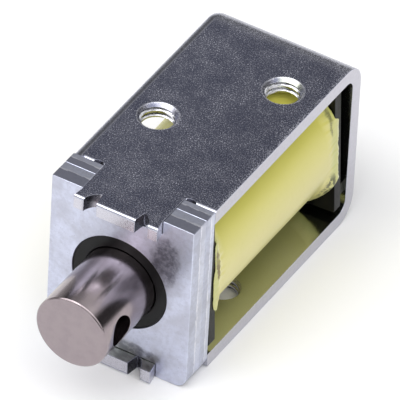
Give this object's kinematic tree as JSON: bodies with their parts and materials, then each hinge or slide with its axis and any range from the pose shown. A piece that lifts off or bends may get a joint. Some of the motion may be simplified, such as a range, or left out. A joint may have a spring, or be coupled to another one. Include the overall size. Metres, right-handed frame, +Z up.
{
  "type": "push pull solenoid",
  "caption": "Open-frame push-pull solenoid: U-bent steel bracket with staked pole plates, taped coil on a bobbin, round plunger with a cross hole, and a push rod through the back.",
  "frame": {"origin": "centre of the bracket's bottom outer face, half way between the outer pole plate's face and the bracket's back", "axes": "+Y along the plunger's axis from the plunger to the push rod, +Z up from the bottom sheet to the top sheet, +X to the right seen from the plunger's end"},
  "size_m": [0.02, 0.0571, 0.0248],
  "materials": {
    "bracket_steel": "zinc-plated strip, satin with a fine speckle",
    "plate_steel": "zinc-plated, matt pale",
    "bobbin_nylon": "moulded, slight sheen",
    "copper_wire": "enamelled",
    "yellow_tape": "polyester film, satin",
    "core_steel": "turned, plated",
    "brass_shim": "rolled foil",
    "plunger_nickel": "nickel-plated, ground and buffed",
    "rod_steel": "stainless, drawn",
    "black_rubber": "matt",
    "ring_steel": "spring steel, phosphated"
  },
  "bodies": {
    "housing": {"frame_bracket": "bracket_steel", "outer_pole_plate": "plate_steel", "inner_pole_plate": "plate_steel", "bobbin": "bobbin_nylon", "winding": "copper_wire", "coil_tape": "yellow_tape", "fixed_core": "core_steel", "residual_washer": "brass_shim"},
    "slider": {"stop_washer": "black_rubber", "retaining_ring": "ring_steel"},
    "plunger_body": {"plunger": "plunger_nickel", "push_rod": "rod_steel"}
  },
  "joints": [
    {"name": "plunger_slide", "type": "slide", "parent": "housing", "child": "slider", "axis": [0, 1, 0], "range_m": [0, 0.005]},
    {"name": "plunger_turn", "type": "hinge", "parent": "slider", "child": "plunger_body", "pos_m": [0, 0, 0.0124], "axis": [0, 1, 0], "continuous": true}
  ]
}
